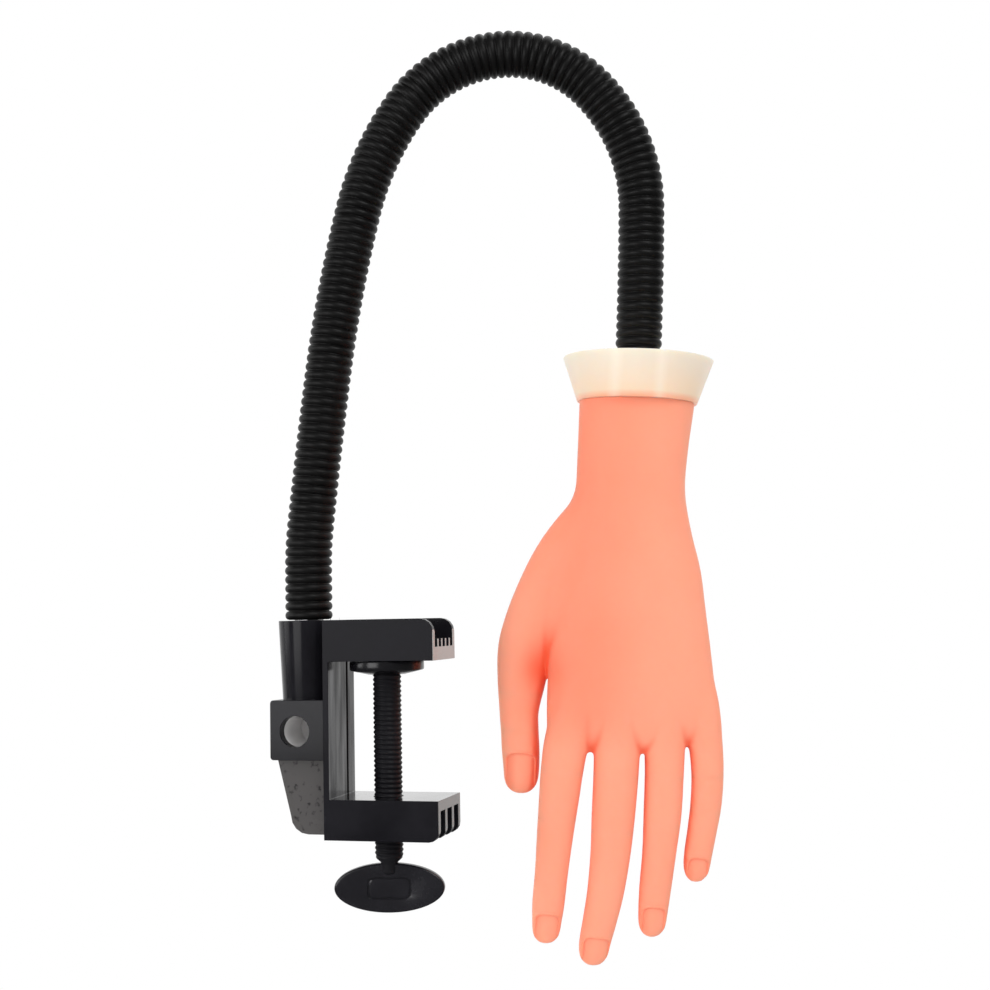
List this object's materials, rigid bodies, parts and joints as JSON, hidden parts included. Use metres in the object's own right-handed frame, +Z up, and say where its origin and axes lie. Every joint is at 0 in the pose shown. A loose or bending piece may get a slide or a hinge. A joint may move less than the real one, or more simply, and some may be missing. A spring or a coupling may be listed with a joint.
{
  "type": "nail practice hand",
  "caption": "Soft posable practice hand on a bendable ribbed gooseneck that clamps to a table edge.",
  "frame": {"origin": "on the clamp screw's axis, at the underside of the upper jaw, where the table top is held", "axes": "+X along the jaws to their open end, +Z up, -Y to the side that the back of the hand faces"},
  "size_m": [0.1668, 0.0781, 0.3692],
  "materials": {
    "black_plastic": "moulded, satin outside and glossy inside the jaws",
    "sleeve_black": "satin ribbed sleeve",
    "wound_steel": "wound flexible core",
    "soft_skin": "soft vinyl, satin",
    "soft_wire": "annealed wire",
    "cream_plastic": "translucent cream moulding, satin",
    "bright_steel": "bright zinc plate"
  },
  "bodies": {
    "clamp": {"clamp_frame": "black_plastic"},
    "pad": {"pressure_pad": "black_plastic"},
    "screw": {"clamp_screw": "black_plastic", "thumb_paddle": "black_plastic", "pad_screw": "bright_steel"},
    "neck_1": {"neck_pin": "bright_steel", "core_1": "wound_steel", "hose_1": "sleeve_black"},
    "neck_2": {"core_2": "wound_steel", "hose_2": "sleeve_black"},
    "neck_3": {"core_3": "wound_steel", "hose_3": "sleeve_black"},
    "neck_4": {"core_4": "wound_steel", "hose_4": "sleeve_black"},
    "neck_5": {"core_5": "wound_steel", "hose_5": "sleeve_black"},
    "neck_6": {"core_6": "wound_steel", "hose_6": "sleeve_black"},
    "neck_7": {"core_7": "wound_steel", "hose_7": "sleeve_black"},
    "neck_8": {"core_8": "wound_steel", "hose_8": "sleeve_black", "neck_stud": "bright_steel", "stud_washer": "bright_steel", "stud_nut": "bright_steel"},
    "hand": {"wrist_collar": "cream_plastic", "palm_skin": "soft_skin", "palm_plate": "soft_wire"},
    "thumb_base": {"thumb_skin_base": "soft_skin", "thumb_wire_base": "soft_wire"},
    "thumb_tip": {"thumb_skin_tip": "soft_skin", "thumb_wire_tip": "soft_wire"},
    "index_base": {"index_skin_base": "soft_skin", "index_wire_base": "soft_wire"},
    "index_tip": {"index_skin_tip": "soft_skin", "index_wire_tip": "soft_wire"},
    "middle_base": {"middle_skin_base": "soft_skin", "middle_wire_base": "soft_wire"},
    "middle_tip": {"middle_skin_tip": "soft_skin", "middle_wire_tip": "soft_wire"},
    "ring_base": {"ring_skin_base": "soft_skin", "ring_wire_base": "soft_wire"},
    "ring_tip": {"ring_skin_tip": "soft_skin", "ring_wire_tip": "soft_wire"},
    "little_base": {"little_skin_base": "soft_skin", "little_wire_base": "soft_wire"},
    "little_tip": {"little_skin_tip": "soft_skin", "little_wire_tip": "soft_wire"}
  },
  "joints": [
    {"name": "screw_turn", "type": "hinge", "parent": "pad", "child": "screw", "pos_m": [0, 0, -0.04], "axis": [0, 0, 1], "range_deg": [-8964, 0]},
    {"name": "pad_travel", "type": "slide", "parent": "clamp", "child": "pad", "axis": [0, 0, 1], "range_m": [-0.0449, 0]},
    {"name": "neck_swivel", "type": "hinge", "parent": "clamp", "child": "neck_1", "pos_m": [-0.0316, 0, 0], "axis": [0, 0, 1], "range_deg": [-180, 180]},
    {"name": "neck_bend_1", "type": "hinge", "parent": "neck_1", "child": "neck_2", "pos_m": [-0.03159, 0, 0.0376], "axis": [0.2588, -0.9659, 0], "range_deg": [-3, 40], "deforming": ["hose_2", "core_2"]},
    {"name": "neck_side_1", "type": "hinge", "parent": "neck_2", "child": "neck_3", "pos_m": [-0.02628, 0.00143, 0.09029], "axis": [-0.9581, -0.2567, 0.1269], "range_deg": [-25, 25], "deforming": ["hose_3", "core_3"]},
    {"name": "neck_bend_2", "type": "hinge", "parent": "neck_3", "child": "neck_4", "pos_m": [-0.01827, 0.00357, 0.14465], "axis": [0.2588, -0.9659, 0], "range_deg": [-3, 40], "deforming": ["hose_4", "core_4"]},
    {"name": "neck_bend_3", "type": "hinge", "parent": "neck_4", "child": "neck_5", "pos_m": [-0.0043, 0.00732, 0.19759], "axis": [0.2588, -0.9659, 0], "range_deg": [-2, 40], "deforming": ["hose_5", "core_5"]},
    {"name": "neck_bend_4", "type": "hinge", "parent": "neck_5", "child": "neck_6", "pos_m": [0.031, 0.01677, 0.23652], "axis": [0.2588, -0.9659, 0], "range_deg": [-2, 45], "deforming": ["hose_6", "core_6"]},
    {"name": "neck_bend_5", "type": "hinge", "parent": "neck_6", "child": "neck_7", "pos_m": [0.07963, 0.02981, 0.22436], "axis": [0.2588, -0.9659, 0], "range_deg": [-2, 45], "deforming": ["hose_7", "core_7"]},
    {"name": "neck_side_2", "type": "hinge", "parent": "neck_7", "child": "neck_8", "pos_m": [0.09696, 0.03445, 0.1739], "axis": [0.9655, 0.2587, -0.0309], "range_deg": [-25, 25], "deforming": ["hose_8", "core_8"]},
    {"name": "hand_swivel", "type": "hinge", "parent": "neck_8", "child": "hand", "pos_m": [0.09411, 0.03446, 0.11527], "axis": [0.0584, -0.0024, 0.9983], "range_deg": [-180, 180]},
    {"name": "thumb_knuckle", "type": "hinge", "parent": "hand", "child": "thumb_base", "pos_m": [0.04374, 0.03168, -0.01942], "axis": [0.963, 0.2584, -0.0764], "range_deg": [-10, 35], "deforming": ["thumb_skin_base", "thumb_wire_base"]},
    {"name": "thumb_middle", "type": "hinge", "parent": "thumb_base", "child": "thumb_tip", "pos_m": [0.04373, 0.03248, -0.03673], "axis": [0.966, 0.2574, 0.0253], "range_deg": [0, 45], "deforming": ["thumb_skin_tip", "thumb_wire_tip"]},
    {"name": "index_knuckle", "type": "hinge", "parent": "hand", "child": "index_base", "pos_m": [0.06038, 0.0284, -0.04897], "axis": [0.9587, 0.258, -0.1195], "range_deg": [-10, 45], "deforming": ["index_skin_base", "index_wire_base"]},
    {"name": "index_middle", "type": "hinge", "parent": "index_base", "child": "index_tip", "pos_m": [0.0565, 0.03034, -0.07556], "axis": [0.9598, 0.2582, -0.1103], "range_deg": [0, 50], "deforming": ["index_skin_tip", "index_wire_tip"]},
    {"name": "middle_knuckle", "type": "hinge", "parent": "hand", "child": "middle_base", "pos_m": [0.08077, 0.03353, -0.05144], "axis": [0.9625, 0.2584, -0.0831], "range_deg": [-10, 45], "deforming": ["middle_skin_base", "middle_wire_base"]},
    {"name": "middle_middle", "type": "hinge", "parent": "middle_base", "child": "middle_tip", "pos_m": [0.07685, 0.03615, -0.08323], "axis": [0.9565, 0.2578, -0.1363], "range_deg": [0, 50], "deforming": ["middle_skin_tip", "middle_wire_tip"]},
    {"name": "ring_knuckle", "type": "hinge", "parent": "hand", "child": "ring_base", "pos_m": [0.09881, 0.03888, -0.05205], "axis": [0.9643, 0.2584, -0.0582], "range_deg": [-10, 45], "deforming": ["ring_skin_base", "ring_wire_base"]},
    {"name": "ring_middle", "type": "hinge", "parent": "ring_base", "child": "ring_tip", "pos_m": [0.09564, 0.0414, -0.07913], "axis": [0.9591, 0.2581, -0.1163], "range_deg": [0, 50], "deforming": ["ring_skin_tip", "ring_wire_tip"]},
    {"name": "little_knuckle", "type": "hinge", "parent": "hand", "child": "little_base", "pos_m": [0.11489, 0.04438, -0.05212], "axis": [0.9639, 0.2584, -0.0636], "range_deg": [-10, 45], "deforming": ["little_skin_base", "little_wire_base"]},
    {"name": "little_middle", "type": "hinge", "parent": "little_base", "child": "little_tip", "pos_m": [0.11209, 0.04593, -0.06926], "axis": [0.9511, 0.257, -0.1712], "range_deg": [0, 50], "deforming": ["little_skin_tip", "little_wire_tip"]}
  ],
  "couplings": [
    {"joint": "pad_travel", "follows": "screw_turn", "m_per_rad": 0.00028648}
  ]
}
